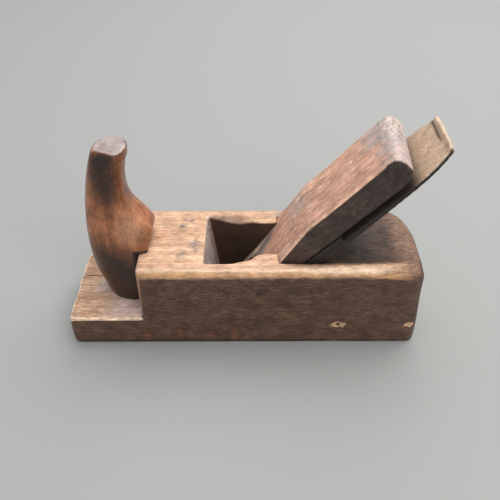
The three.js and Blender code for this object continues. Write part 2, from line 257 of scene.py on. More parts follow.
class Skin:
    """The points of a piece's net in mm, with its edges, for shaping all of them at once."""

    def __init__(self, piece):
        self.piece, self.mesh = piece, piece.data
        self.count = len(self.mesh.vertices)
        flat = np.empty(self.count * 3, np.float32)
        self.mesh.vertices.foreach_get("co", flat)
        self.places = flat.reshape(-1, 3).astype(float) / MM - MIDDLE
        ends = np.empty(len(self.mesh.edges) * 2, np.int32)
        self.mesh.edges.foreach_get("vertices", ends)
        self.one, self.two = ends.reshape(-1, 2).T
        self.links = np.bincount(np.r_[self.one, self.two], minlength=self.count)

    def evened(self, values, rounds, share=0.5):
        """The values after each has moved towards the mean of its neighbours', rounds times."""
        columns = values.reshape(self.count, -1).T.copy()
        for _ in range(rounds):
            for column in columns:
                total = np.bincount(self.one, column[self.two], self.count)
                total += np.bincount(self.two, column[self.one], self.count)
                column += share * (total / self.links - column)
        return columns.T.reshape(values.shape)

    def store(self):
        """Writes the points back to the mesh, in metres."""
        flat = ((self.places + MIDDLE) * MM).astype(np.float32)
        self.mesh.vertices.foreach_set("co", flat.ravel())
        self.mesh.update()

    def facing(self):
        """The outward direction at every point."""
        self.store()
        flat = np.empty(self.count * 3, np.float32)
        self.mesh.vertex_normals.foreach_get("vector", flat)
        return flat.reshape(-1, 3).astype(float)

    def wear(self, rounds, where):
        """Rounds off what stands proud, where says how fully, and tells how far it stood, in mm."""
        soft = self.evened(self.places, rounds)
        proud = ((self.places - soft) * self.facing()).sum(1)
        self.places += (soft - self.places) * np.asarray(where).reshape(-1, 1)
        return proud

    def mask(self, name, values):
        """Stores a number from 0 to 1 at every point, for the material to read by name."""
        held = np.clip(values, 0, 1).astype(np.float32)
        self.mesh.attributes.new(name, "FLOAT", "POINT").data.foreach_set("value", held)
        print(self.piece.name, name, "on average:", round(float(held.mean()), 3))

    def finish(self, material, body, node):
        """Puts the piece in its CAD node's place, no lower than the floor, with its material."""
        self.places[:, 2] = np.maximum(self.places[:, 2], 0)
        self.store()
        self.mesh.materials.append(material)
        self.mesh.shade_smooth()
        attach(self.piece, body)
        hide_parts(node)
        print(self.piece.name, "faces:", len(self.mesh.polygons))


# %% [markdown]
# ## The woods
# Stock, wedge and horn are beech that has been oiled, handled and left in a damp shed. Planed
# beech shows fine grey-brown lines along the grain, a millimetre or so apart, and short dark
# flecks where rays end. Age adds a skin: brown where hands and dirt have been, grey where it
# lay bare and nearly white where an arris has just been knocked. Corners are black, with dirt and
# painted shade, and some pale marks are painted highlights. The grain is drawn once, and each
# piece paints the layers of its skin over it with masks of its own. Noise that is stretched along
# the grain makes the lines. A wave texture would make them too, but its lines are evenly spaced,
# and those of wood are not.

# %% A pattern in millimetres


def pattern(tree, source, sizes, detail, rough=0.55):
    """Smooth noise in a material, whose lumps have the given sizes in mm."""
    at = {"Vector": source, "Scale": [1 / (MM * size) for size in sizes]}
    at = add(tree, "Mapping", at)
    lumps = {"Vector": at, "Scale": 1, "Detail": detail, "Roughness": rough}
    return add(tree, "TexNoise", lumps)


print("a lump of 1 mm needs the scale", round(1 / MM))

# %% [markdown]
# A layer of skin is mixed over the wood where its mask is strong. A mask that simply fades out
# looks sprayed on. Real dirt ends raggedly, because it stays in the pores and is rubbed off
# between them, so the wood's own mottle is added to the mask before it is sharpened.

# %% Layers of skin


def under_layers(tree, colour, mottle, layers):
    """The colour under layers, each a mask's name, a colour and how raggedly the layer ends."""
    for mask, tint, ragged in layers:
        held = add(tree, "Attribute", out=2, attribute_name=mask)
        breakup = add(tree, "MapRange", {0: mottle, 1: 0.25, 2: 0.75, 3: -ragged, 4: ragged})
        amount = add(tree, "Math", {0: held, 1: breakup}, operation="ADD")
        shown = add(tree, "MapRange", {0: amount, 1: ragged, 2: 1 - ragged})
        mixed = {0: shown, 6: colour, 7: linear(tint)}
        colour = add(tree, "Mix", mixed, out=2, data_type="RGBA")
    return colour


print("a layer takes five nodes")

# %% [markdown]
# Tools that lie on each other in a drawer scratch each other, and pale dust settles in the
# scratches. They come in families that lean the same way. Noise stretched along each lean, of
# which only the peaks are kept, gives broken lines. Single curves would each need a place.

# %% Dust in scratches
# How far each family leans, in degrees, and how long, deep and wide its marks are, in mm.
DUST = [(22, (9, 9, 0.45)), (-75, (5, 5, 0.5)), (0, (0.9, 0.9, 0.9))]
DUST_COLOUR = "#a48d7e"


def dusted(tree, colour, own):
    """The colour with pale dust in scratches, where the scratched mask lets them show."""
    held = add(tree, "Attribute", out=2, attribute_name="scratched")
    for lean, sizes in DUST:
        leaning = {"Vector": own, "Angle": math.radians(lean)}
        leaning = add(tree, "VectorRotate", leaning, rotation_type="Y_AXIS")
        scratch = pattern(tree, leaning, sizes, 1)
        marks = add(tree, "MapRange", {0: scratch, 1: 0.66, 2: 0.78, 4: 0.7})
        marks = add(tree, "Math", {0: marks, 1: held}, operation="MULTIPLY")
        mixed = {0: marks, 6: colour, 7: linear(DUST_COLOUR)}
        colour = add(tree, "Mix", mixed, out=2, data_type="RGBA")
    return colour


print("families of scratches:", len(DUST))

# %% [markdown]
# The wood itself is six patterns at different sizes. Bands, lines and hairs run along the grain,
# flecks are the ends of rays, and mottle and cloud are the unevenness that oil and years leave.
# Pores and rays of beech are 0.1 to 0.3 mm wide, too fine to show from the bench, so the finest
# lines and flecks are drawn about half a millimetre wide. Lines and hairs also give the relief.

# %% Worn beech


def worn_wood(name, base, layers, grain, turn=0.0, streaky=1.0, mottling=1.0, depth=0.12,
              gloss=(0.5, 0.7)):
    """Wood whose fine lines are as long and as wide as grain says (mm), under layers of skin.

    base is the light and the dark colour of the bare wood. streaky and mottling say how strongly
    lines and mottle show. depth is the lines' depth in mm, and gloss the lowest and the highest
    roughness.
    """
    material, tree, surface = new_material(name)
    own = add(tree, "TexCoord", out=3)
    turned = add(tree, "VectorRotate", {"Vector": own, "Angle": turn}, rotation_type="Y_AXIS")
    bands = pattern(tree, turned, [2.6 * size for size in grain], 2)
    lines = pattern(tree, turned, grain, 2)
    hairs = pattern(tree, turned, [0.36 * size for size in grain], 2, 0.7)
    fleck_sizes = [0.09 * size if size > 5 else 0.5 * size for size in grain]
    flecks = pattern(tree, turned, fleck_sizes, 1)
    cloud = pattern(tree, turned, [11, 9, 9], 4, 0.62)
    mottle = pattern(tree, turned, [1 + 0.1 * size for size in grain], 3, 0.75)

    share = add(tree, "MapRange", {0: bands, 1: 0.36, 2: 0.64})
    mixed = {0: share, 6: linear(base[0]), 7: linear(base[1])}
    colour = add(tree, "Mix", mixed, out=2, data_type="RGBA")
    colour = under_layers(tree, colour, mottle, layers)

    lined = add(tree, "MapRange", {0: hairs, 1: 0.52, 2: 0.7, 3: 1.0, 4: 1 - 0.3 * streaky})
    for drawn, start, end, light, dark in (
        (bands, 0.35, 0.65, 1 + 0.09 * streaky, 1 - 0.11 * streaky),
        (lines, 0.35, 0.65, 1 + 0.1 * streaky, 1 - 0.12 * streaky),
    ):
        shade = add(tree, "MapRange", {0: drawn, 1: start, 2: end, 3: light, 4: dark})
        lined = add(tree, "Math", {0: lined, 1: shade}, operation="MULTIPLY")
    mottled = add(tree, "MapRange", {0: cloud, 1: 0.32, 2: 0.68, 3: 0.74, 4: 1.27})
    for drawn, start, end, light, dark in (
        (flecks, 0.67, 0.74, 1.0, 0.55),
        (mottle, 0.34, 0.66, 1 + 0.34 * mottling, 1 - 0.28 * mottling),
    ):
        shade = add(tree, "MapRange", {0: drawn, 1: start, 2: end, 3: light, 4: dark})
        mottled = add(tree, "Math", {0: mottled, 1: shade}, operation="MULTIPLY")

    # A skin of dirt hides a third of the lines and makes the wood half as blotchy again.
    skinned = add(tree, "Attribute", out=2, attribute_name="handled")
    flatter = add(tree, "Math", {0: skinned, 1: 0.3}, operation="MULTIPLY")
    lined = add(tree, "Mix", {0: flatter, 2: lined, 3: 1.0})
    blotchier = add(tree, "Math", {0: skinned, 1: 0.5, 2: 1.0}, operation="MULTIPLY_ADD")
    mottled = add(tree, "Math", {0: mottled, 1: blotchier}, operation="POWER")
    tone = add(tree, "Math", {0: lined, 1: mottled}, operation="MULTIPLY")
    colour = add(tree, "VectorMath", {0: colour, "Scale": tone}, operation="SCALE")

    height = add(tree, "Math", {0: lines, 1: -0.6, 2: hairs}, operation="MULTIPLY_ADD")
    bump = {"Height": height, "Strength": 0.5 * streaky, "Distance": depth * MM}
    shine = {0: mottle, 1: 0.3, 2: 0.7, 3: gloss[0], 4: gloss[1]}
    shader = {
        "Base Color": dusted(tree, colour, own),
        "Roughness": add(tree, "MapRange", shine),
        "Normal": add(tree, "Bump", bump),
        "IOR": 1.48,
    }
    tree.links.new(add(tree, "BsdfPrincipled", shader), surface)
    print(name, "nodes:", len(tree.nodes))
    return material


# %% [markdown]
# ## The stock
# The stock is one block. Its far cheek was scooped with a gouge beside the throat so that the
# shavings come out freely, and a splinter has gone from the near one. A boolean cut would leave
# the net uneven and its rim as sharp as a knife. The gouge leaves a slant from a line on the top
# down to a line on the cheek, so the points between those two lines are laid out evenly along it.

# %% Scooped cheek and splinter
# Along the stock, the cheeks run in from half the throat's width to the abutments.
CHEEK_FRONT, CHEEK_BACK = -9.0, 16.0
SLOT_HALF, FAR_ABUTMENT, NEAR_ABUTMENT = 24.55, 17.2, -14.8
# The gouge came out on the top at this Y, and on the cheek at these X and Z.
SCOOP_EDGE = 25.4
SCOOP_LOW = np.array([[-25.6, 65.3], [-20, 63.4], [-12.8, 61.3], [-7.9, 59.8], [-3, 60], [0, 61],
                      [7, 64.2], [14, 65.1], [19.5, 65.35]])
stock = fine_copy("stock_beech", "stock", 0.95)
skin = Skin(stock)


def cheek(x, inner):
    """How far out the throat's cheek stands at x, where it runs in to the abutment."""
    outer = math.copysign(SLOT_HALF, inner)
    return outer + (inner - outer) * ramp(x, CHEEK_FRONT, CHEEK_BACK)


x, y, z = skin.places.T
low_line = np.interp(x, *SCOOP_LOW.T)
foot = cheek(x, FAR_ABUTMENT)
rise, run = HEIGHT - low_line, SCOOP_EDGE - foot
by_gouge = (x > -25.3) & (x < 19.5) & (z > low_line) & (y > foot - 0.8) & (y < SCOOP_EDGE)
along_slant = (z - low_line + np.clip(y - foot, 0, None)) / (rise + run)
along_slant = np.where(by_gouge, np.clip(along_slant, 0, 1), 0)
skin.places[by_gouge, 1] = (foot + along_slant * run)[by_gouge]
skin.places[by_gouge, 2] = (low_line + along_slant * rise)[by_gouge]
scooped = by_gouge.astype(float)

from_edge = np.abs(y - cheek(x, NEAR_ABUTMENT) + 0.3)
lost = ramp(-from_edge, -2.2, -0.6) * ramp(x, -2, 1) * (1 - ramp(x, 5, 9)) * ramp(z, 60, 63)
skin.places[:, 2] -= lost * (1.5 + 0.7 * noise(skin.places, 1.8, 4, (3, 1, 1)))
print("points moved by the gouge:", int(scooped.sum()))

# %% [markdown]
# The heel is where the palm rests. Its end curves down like a quarter of a wheel, and its near
# edges are worn to a soft ellipse that grows towards the end. Smoothing alone would need hundreds
# of rounds to reach so far, so the points are put on the ellipse, and smoothing does the rest.

# %% Rounded heel


def rounded(first, second, edges, radii):
    """Two coordinates, with the corner where their edges meet turned into part of an ellipse."""
    u, v = (first - edges[0]) / radii[0] + 1, (second - edges[1]) / radii[1] + 1
    past = np.where((u > 0) & (v > 0), np.maximum(np.hypot(u, v), 1), 1)
    return edges[0] + radii[0] * (u / past - 1), edges[1] + radii[1] * (v / past - 1)


HEEL_ROUND = 13
# The near edge's radii across and down, and how much they grow towards the end.
EDGE_RADII, EDGE_GROWTH = (6, 5), (9, 8)
x, y, z = skin.places.T
along_end = np.clip(x - HALF_LENGTH + HEEL_ROUND, 0, HEEL_ROUND)
top = HEIGHT - HEEL_ROUND + np.sqrt(HEEL_ROUND**2 - along_end**2)
softer = ramp(x, 78, 114)
radii = [radius + more * softer for radius, more in zip(EDGE_RADII, EDGE_GROWTH)]
across, z = rounded(-y, z, (HALF_WIDTH, top), radii)
x, across = rounded(x, across, (HALF_LENGTH, HALF_WIDTH), [6 + 6 * ramp(z, 10, 52)] * 2)
skin.places = np.array([x, -across, z]).T
print("largest radii of the heel's near edge, mm:", [round(float(r.max()), 1) for r in radii])

# %% [markdown]
# Hands, benches and boards wear a stock unevenly. Outer arrises get round, more so where the
# noise says a knock fell. The bed, the throat and the seat of the wedge stay true, or the plane
# would not hold its iron.

# %% Worn arrises
skin.places = skin.evened(skin.places, 2)
x, y, z = skin.places.T
inside = (np.abs(y) < 25.0) & (z > 1.2) & (z < HEIGHT - 0.6) & (x > -26.5) & (x < 58)
inside |= (x < -62.5) & (x > -70) & (np.abs(y) < 10) & (z > 26) & (z < HEIGHT - 1)
outer = 1.0 - inside
along_arris = noise(skin.places, 16, 3)
seat = (np.abs(y) < 27) * ramp(x, 5, 9) * (x < 60)
outer = outer * (1 - 0.85 * seat)
rim = inside * (z > 57) * (np.abs(y) < 25.6) * (1 - ramp(x, 6, 11))
proud = skin.wear(9, outer * (0.55 + 0.35 * ramp(along_arris, -0.2, 0.8)) + 0.15 * rim)
facing = skin.facing()
swell = 0.22 * noise(skin.places, 42, 1) + 0.09 * noise(skin.places, 11, 2)
skin.places += facing * (swell * outer * ramp(z, 0.3, 2)).reshape(-1, 1)
print("deepest wear, mm:", round(float(proud.max()), 2))

# %% [markdown]
# The chips on the near side are dents with torn fibres in them. A dent pushes the points in along
# their own direction, by a soft spot that fine noise roughens. Sculpting would do the same by
# hand, but not twice alike.

# %% Chips and dents
# The place, the reach and the depth of each dent. The first two are chips down to bare wood.
CHIP, HEEL_CHIP = (64, -HALF_WIDTH, 17.6), (112.6, -HALF_WIDTH, 17.6)
DENT, SPLIT = (10, -HALF_WIDTH, 48), (94, 2 - HALF_WIDTH, 62)
CHIPS = [
    (CHIP, (4.0, 3, 2.3), 1.3),
    (HEEL_CHIP, (3, 3, 1.8), 0.9),
    ((38, -HALF_WIDTH, 52.7), (2.4, 3, 1.6), 0.5),
    (DENT, (2, 3, 1.6), 0.5),
    (SPLIT, (9, 3, 0.8), 0.7),
    ((-44, -HALF_WIDTH, 48), (0.9, 3, 0.9), 0.3),
]
for centre, reach, deep in CHIPS:
    torn = 0.75 + 0.25 * noise(skin.places, 1.6, 5)
    skin.places -= facing * (spot(skin.places, centre, reach) * deep * torn).reshape(-1, 1)
print("chips and dents:", len(CHIPS))

# %% [markdown]
# The top edges of the two abutments are what the wedge bears on, so they are cut true again. A
# point near such an edge goes to the nearer of the two faces that meet there: the stock's top or
# the slope behind the wedge.

# %% True abutments
# The wedge's face passes this far up the bed and off it, with this slope, and needs this gap.
WEDGE_CREST_S, WEDGE_CREST_T, WEDGE_SLOPE, CLEARANCE = 97, 27, 0.1487, 0.35
s, t = on_bed(skin.places)
behind = t - (WEDGE_CREST_T + WEDGE_SLOPE * (s - WEDGE_CREST_S) + CLEARANCE)
edge = (y > 17.6) | (y < -15.2)
edge &= (np.abs(y) < 25.5) & (z > 60) & (behind > -0.5) & (behind < 1.2) & (x < 34)
upper = edge & (HEIGHT - z < behind)
lower = edge & ~upper
skin.places[upper, 2] = HEIGHT
skin.places[lower] -= np.outer(behind, OFF_BED - WEDGE_SLOPE * UP_BED)[lower]
print("points trued along the abutments:", int(edge.sum()))

# %% [markdown]
# The toe takes every knock, so its front is ragged, and drying has opened a crack along the grain
# from its end. The crack is a narrow groove whose line wanders a little.

# %% Ragged toe and its crack
toe_front = ramp(-x, HALF_LENGTH - 3, HALF_LENGTH - 0.5) * ramp(z, 10, 22)
skin.places[:, 0] += toe_front * (0.5 + 0.5 * noise(skin.places, 3.5, 8, (1, 1, 3)))
crack = np.exp(-(((y - 8.4 - 0.5 * noise(skin.places, 9, 9)) / 0.5) ** 2))
crack *= (x < -88) * ramp(z, 22, 24)
skin.places[:, 2] -= 0.5 * crack
facing = skin.facing()
print("points in the crack:", int((crack > 0.5).sum()))

# %% [markdown]
# The skin's masks come from the shape itself: what stood proud is rubbed pale, what lies in a
# corner is painted darker, and a face's direction says whether hands or weather reached it. The
# first mask is the brown of hands, on the sides, the ends and the heel. The top between horn and
# wedge stays light, because shavings sweep over it.

# %% Where hands have browned the stock
STEP_X, TOE_BELOW = -68, 27
x, y, z = skin.places.T
nx, ny, nz = facing.T
rough_edge = noise(skin.places, 6, 11)
fine_edge = noise(skin.places, 2.5, 12)

upright = ramp(np.hypot(nx, ny), 0.5, 0.85)
side = upright * ramp(np.abs(y), 30, 33) * (1 - 0.8 * ramp(z, 59.5, 63))
worn_corner = (x > HALF_LENGTH - 30) & (y > 20)
ends = upright * ((np.abs(x) > HALF_LENGTH - 16) | worn_corner)
sole = 0.75 * ramp(-nz, 0.5, 0.9) * (z < 2)
toe_top = ramp(nz, 0.5, 0.9) * (z < TOE_BELOW)
step_wall = ramp(-nx, 0.6, 0.9) * (np.abs(x - STEP_X) < 4) * (z > 25)
heel_top = ramp(nz, 0.3, 0.7) * ramp(x, 20, 40) * ramp(y, -28.5, -23.5)
heel_end = ramp(x, 92, 108)
skin.mask("handled", np.maximum.reduce([
    side,
    ends,
    sole,
    0.7 * step_wall,
    heel_top * (1 - 0.25 * heel_end),
    toe_top * (0.05 + 0.3 * ramp(-x, 92, 108)),
    0.7 * heel_end * ramp(nz, 0.1, 0.4),
]))

# %% [markdown]
# Light hardly reaches the throat. Its walls are painted nearly black: painted shade, over real soot
# and old oil. Only its front wall, which the shavings rub, stays grey, and the rim is clean from a
# millimetre below the top.

# %% The dark throat
front_wall = inside * (nx > 0.6) * (x < -12)
rim_height = np.where(y > 0, np.interp(x, *SCOOP_LOW.T, HEIGHT, HEIGHT), HEIGHT - lost * 1.5)
below_rim = np.clip((rim_height - z) / 1.1, 0, 1)
# Painted shade in the throat, over real soot and old oil.
soot_and_shade = inside * (1 - front_wall) * below_rim * (1 - ramp(nz, 0.6, 0.9) * (z > 58))
skin.mask("soot_and_shade", soot_and_shade)

# %% [markdown]
# A worn arris is pale, because the skin is rubbed off it: cream where a knock is fresh, tan where
# hands have oiled it again. How far a point stood proud before the wear tells where the arrises
# are. The corner inside the throat and the toe's edge get their own pale lines. The near top
# arris is polished and also gets a painted highlight, and the scoop gets a painted sheen.

# %% Pale arrises
THROAT_FRONT, WALL_LEAN = -25.1, 0.125
wall = THROAT_FRONT + WALL_LEAN * (HEIGHT - z)
inner_corner = np.exp(-(((y - SLOT_HALF + 0.3) / 0.7) ** 2) - ((x - wall) / 1.2) ** 2) * (nx > 0.2)
arris = ramp(proud, 0.16, 0.5) * outer * (1 - 0.8 * ramp(x, 90, 106))
long_arris = ramp(nz, 0.3, 0.5) * (1 - ramp(nz, 0.8, 0.93)) * (z > 56) * outer
long_arris *= ramp(np.abs(ny) - np.abs(nx), 0, 0.3)
long_arris *= 1 - 0.8 * ramp(x + 10 * np.sign(y), 84, 106)
# A painted highlight along the near top arris, over its polish.
polish_and_highlight = spot(skin.places * (0, 1, 1), (0, -31, HEIGHT - 0.6), (1, 2.5, 2.6)) * outer
polish_and_highlight *= (0.55 + 0.6 * ramp(x, 30, 55)) * (1 - ramp(x, 84, 104))
toe_arris = 1.3 * ramp(proud, 0.12, 0.3) * (z > 20) * (z < 26) * (x < -66)
sole_arris = (z < 2.5) * outer * ramp(nz, -0.97, -0.8)
arris *= (1 - 0.7 * ramp(x, 40, 60)) * (1 - long_arris) * (0.3 + 0.7 * ramp(z, 50, 62))
scoop_sheen = 0.45 * scooped * ramp(x, -24, -16) * (1 - ramp(x, -4, 8))
pale = np.maximum.reduce([0.6 * arris, polish_and_highlight, toe_arris, 0.8 * inner_corner, scoop_sheen])
step_chamfer = ramp(-nx, 0.2, 0.5) * ramp(-ny, 0.2, 0.5) * ramp(z, 24, 56)
step_chamfer *= (x > STEP_X - 2) * (x < STEP_X + 8)
skin.mask("tan", np.maximum(long_arris * (0.75 + 0.3 * along_arris), 0.5 * step_chamfer))
skin.mask("pale", pale * (1 - sole_arris) * (0.9 + 0.25 * rough_edge))

# %% [markdown]
# Damp turns bare wood grey: the throat's front wall, the toe beside the horn, the heel's far
# corner and the scoop. The toe also holds a film of pale dust, which thins out towards its front.

# %% Grey and dust
skin.mask("grey", np.maximum.reduce([
    0.9 * front_wall,
    0.75 * spot(skin.places, (-98, -3, 24), (9, 8, 6)) * (nz > 0.5),
    0.4 * ramp(x, 104, 116) * ramp(y, -5, 22) * ramp(nz, 0.1, 0.5),
    0.5 * ramp(-x, 66, 70) * ramp(nz, 0.6, 0.9) * ramp(rough_edge, 0.2, 0.9),
    0.7 * scooped * (1 - ramp(x, -14, 6)),
    0.8 * spot(skin.places, (24, 26.5, HEIGHT), (3.2, 2.6, 3)),
    0.6 * step_wall,
]))
skin.mask("dusty", toe_top * (0.7 + 0.25 * rough_edge) * ramp(x, -106, -80))

# %% [markdown]
# Stains are soft spots at their places: faint grey smudges on the top and dark cores in the chip
# and the dent. The same mask paints shade: a darker ring round the horn's foot, and shade with
# grease on the heel under the iron. It also darkens hollows and the sole's arris. Fine noise
# breaks the smudges up, so that they look rubbed in.

# %% Stains, dirt and painted shade
SMUDGES = [
    ((-36, 20, HEIGHT), (8, 3.6, 3)),
    ((-42, 13, HEIGHT), (4, 3, 3)),
    ((-35, -4, HEIGHT), (7, 3.6, 3)),
    ((-41, -15, HEIGHT), (5, 5, 3)),
    ((-31, -10, HEIGHT), (3, 4, 3)),
]
smudge = sum(spot(skin.places, centre, reach) for centre, reach in SMUDGES)
skin.mask("smudged", 0.8 * smudge * ramp(noise(skin.places, 2.2, 16, (1, 1.6, 1)), -0.9, 0.7))
near_dirt = spot(skin.places, DENT, (2.4, 4, 2)) * 0.9
# Painted shade round the horn's foot.
horn_foot_ring_shade = spot(skin.places, (-82, -2, 24), (13, 11, 5)) * ramp(nz, 0.5, 0.9) * 0.2
core_dirt = 1.1 * spot(skin.places, np.add(CHIP, (0.4, 0, 0)), (3.6, 3, 2.6))
# Darker in hollows.
darker_in_hollows = ramp(-proud, 0.12, 0.4) * 0.8 * (1 - scooped)
# Painted shade and grease on the heel under the iron.
shade_and_grease_under_iron = heel_top * (1 - ramp(x, 68, 114))
split = 0.8 * spot(skin.places, SPLIT, (7, 3, 0.7))
skin.mask("grime_and_shade", np.maximum.reduce([
    near_dirt, core_dirt, horn_foot_ring_shade, darker_in_hollows, 0.9 * sole_arris, crack, shade_and_grease_under_iron, split,
]))

# %% [markdown]
# Where a chip has gone, bare wood shows. Its edge is torn, so noise is added to the spot before
# it is sharpened. Red heartwood shows in the splintered cheek and in faint bands above the sole.

# %% Bare wood and red wood
RED_BANDS = (-66, -44.5, -22.4, -5.8)
torn = 0.3 * noise(skin.places, 1.5, 14)
bare = [spot(skin.places, centre, np.array(reach) * 1.3) for centre, reach, _ in CHIPS[:2]]
chipped = sum(bare) + torn
core = spot(skin.places, np.add(CHIP, (0.6, 0, -0.2)), (2.4, 3, 2.4)) + 1.3 * torn
raw = ramp(chipped, 0.3, 0.55) * (1 - ramp(core, 0.45, 0.7))
broken = ramp(-x, HALF_LENGTH - 2.5, HALF_LENGTH - 1) * ramp(-ny - nx, 1.0, 1.3) * ramp(z, 10, 20)
raw = np.maximum(raw, 0.8 * broken * ramp(fine_edge, -0.2, 0.4))
splintered = spot(skin.places, (3.5, -19.4, HEIGHT - 1), (4.2, 2.2, 3))
bands = [spot(skin.places, (along, -HALF_WIDTH, 8), (3.2, 5, 9)) for along in RED_BANDS]
skin.mask("raw", raw)
skin.mask("red", np.maximum(splintered, 0.5 * sum(bands)))
patchy = ramp(noise(skin.places, 15, 13), -0.5, 0.7)
skin.mask("scratched", side * (z < 60) * (0.15 + 0.7 * patchy))

# %% [markdown]
# The layers go on in the order in which they came: first what hands and dust left, then weather
# and dirt, then what was rubbed or broken off last. A later layer covers an earlier one.

# %% The stock's finish
BEECH_SKIN = [
    ("handled", "#5d4233", 0.06),
    ("dusty", "#e8cfc6", 0.12),
    ("red", "#8a5236", 0.2),
    ("grey", "#bba9a2", 0.14),
    ("smudged", "#8b7f7b", 0.22),
    # The next two layers hold dirt and painted shade: the throat, hollows, the horn's foot, the
    # heel under the iron.
    ("grime_and_shade", "#372a24", 0.14),
    ("soot_and_shade", "#493529", 0.02),
    ("tan", "#cb9a6b", 0.2),
    ("pale", "#f4d3b4", 0.16),
    ("raw", "#cfa883", 0.2),
]
# Planed and oiled beech: warm and satin on top, dull brown where dirt has been rubbed in.
stock_wood = worn_wood(
    "oiled_beech_long_grain", ("#e1b897", "#cca081"), BEECH_SKIN, (46, 1.3, 1.1),
    streaky=0.6,
)
skin.finish(stock_wood, "stock", "stock")

# %% [markdown]
# ## The horn
# The horn is a separate piece of beech, dovetailed into the front of the stock so that its grain
# can run upright. It is the part the hand holds, so it is dark, smooth and polished. The top was
# sawn off and its near rim has been pared away at a slant. The paring is a plane that the points
# are pushed back to, softly, so that the cut has the slight round of a knife's work.

# %% Shape the horn
horn = fine_copy("horn_beech", "horn", 0.75)
skin = Skin(horn)
skin.places = skin.evened(skin.places, 3)
CROWN = 130
RIM, PARED = np.array([-77.8, -8.7, 137.0]), np.array([-0.5, -0.86, 0.6])
PARED /= np.linalg.norm(PARED)
over = (skin.places - RIM) @ PARED
over = (0.5 * (over + np.sqrt(over**2 + 2.4)) - 0.6) * ramp(skin.places[:, 2], 119, 133)
skin.places -= np.outer(np.maximum(over, 0), PARED)
x, y, z = skin.places.T
free = ramp(z, 26, 30) * (x < -68.5) + (z > HEIGHT + 1.5)
free = np.clip(free, 0, 1)
proud = skin.wear(7, 0.75 * free)
skin.wear(16, 0.9 * ramp(z, CROWN, CROWN + 4))
facing = skin.facing()
swell = 0.5 * np.exp(-(((z - 132) / 2) ** 2)) * ramp(facing[:, 0], 0.1, 0.7)
swell += 0.35 * noise(skin.places, 20, 21, (1, 1, 1.6)) + 0.08 * noise(skin.places, 5, 22)
skin.places += facing * (swell * free).reshape(-1, 1)
facing = skin.facing()
print("deepest wear, mm:", round(float(proud.max()), 2))

# %% [markdown]
# The horn's bulge gets a painted highlight. Round it the horn is dark: below the sawn rim, where
# old finish has stayed, and at the foot, which fingers never reach. The sawn top is grey end grain.

# %% Paint the horn's skin
x, y, z = skin.places.T
nx, ny, nz = facing.T
lumps = noise(skin.places, 9, 23)
sawn = ramp(nz, 0.9, 0.98) * (z > CROWN)
rim = ramp(nz, 0.1, 0.5) * ramp(z, 126, 132) * (1 - sawn)
under_rim = spot(skin.places, (-82, -15, 122), (12, 14, 20)) + 0.12 * lumps
under_rim = ramp(under_rim, 0.05, 0.95) * (1 - sawn)
foot = (1 - ramp(z + 0.5 * (x + 82) + 4 * lumps, 56, 84)) * (0.62 + 0.36 * ramp(x, -100, -88))
wall_line = ramp(x, -72.5, -69) * (z < 68)
soot_and_shade = 0.9 * under_rim + 0.95 * foot * ramp(-ny, -0.6, 0.2) + wall_line + 0.4 * rim
skin.mask("soot_and_shade", np.clip(soot_and_shade, 0, 1))
skin.mask("grey", sawn * (0.85 + 0.2 * noise(skin.places, 3, 26)))
rim_line = np.exp(-(((nz - 0.8) / 0.16) ** 2)) * (z > CROWN)
rim_line *= ramp(noise(skin.places, 5, 25), -0.2, 0.5)
skin.mask("pale", 0.55 * rim_line)
# A painted highlight on the bulge.
skin.mask("painted_highlight", 0.9 * spot(skin.places, (-70, -14, 85), (9, 11, 12)))
neck = 0.5 * ramp(z, 92, 108) * ramp(nx, -0.5, 0.3) + 0.35 * ramp(lumps, 0.1, 0.9)
skin.mask("grime_and_shade", np.clip(ramp(-proud, 0.1, 0.3) + neck, 0, 1))
skin.mask("scratched", 0.9 * spot(skin.places, (-73, -17, 99), (8, 9, 11)))

# %% [markdown]
# The same wood serves the horn, turned upright, with fainter lines and a low roughness, because
# polish fills the pores.

# %% The horn's finish
HORN_SKIN = [
    # A painted highlight on the bulge.
    ("painted_highlight", "#cb9471", 0.05),
    ("grime_and_shade", "#663c22", 0.05),
    ("soot_and_shade", "#312118", 0.05),
    ("grey", "#b3a5a1", 0.08),
    ("pale", "#c9a98c", 0.2),
]
# Beech polished by the palm: red-brown, with a soft shine and hardly any relief.
horn_wood = worn_wood(
    "polished_beech_upright_grain", ("#b0704a", "#8e5838"), HORN_SKIN, (1.4, 1.4, 18),
    streaky=0.25, mottling=0.8, depth=0.04, gloss=(0.2, 0.36),
)
skin.finish(horn_wood, "stock", "horn")

# %% [markdown]
# ## The wedge
# The wedge is driven and knocked out with a hammer, so its long arrises are bruised and its end
# is grey and soft. It has a fork at the foot, whose two prongs press on the cap iron while the
# shavings pass between them. A bevel modifier would round every arris alike, so the wear is done
# on a net again. The wedge must still slide, so its faces stay within a hair of the CAD.

# %% Shape the wedge
wedge = fine_copy("wedge_beech", "wedge", 0.75)
skin = Skin(wedge)
skin.places = skin.evened(skin.places, 2)
s, t = on_bed(skin.places)
y = skin.places[:, 1]
knocks = noise(skin.places, 10, 31)
struck = ramp(s, 150, 162)
where = 0.35 + 0.3 * ramp(knocks, 0, 0.8) + 0.35 * struck
proud = skin.wear(8, where * ramp(s, 30, 60))
facing = skin.facing()
swell = (0.16 * noise(skin.places, 24, 32) + 0.07 * noise(skin.places, 5, 33)) * ramp(s, 75, 95)
swell += 0.3 * noise(skin.places, 3.5, 34) * struck
skin.places += facing * (swell - 0.1).reshape(-1, 1)
facing = skin.facing()
print("deepest wear, mm:", round(float(proud.max()), 2))
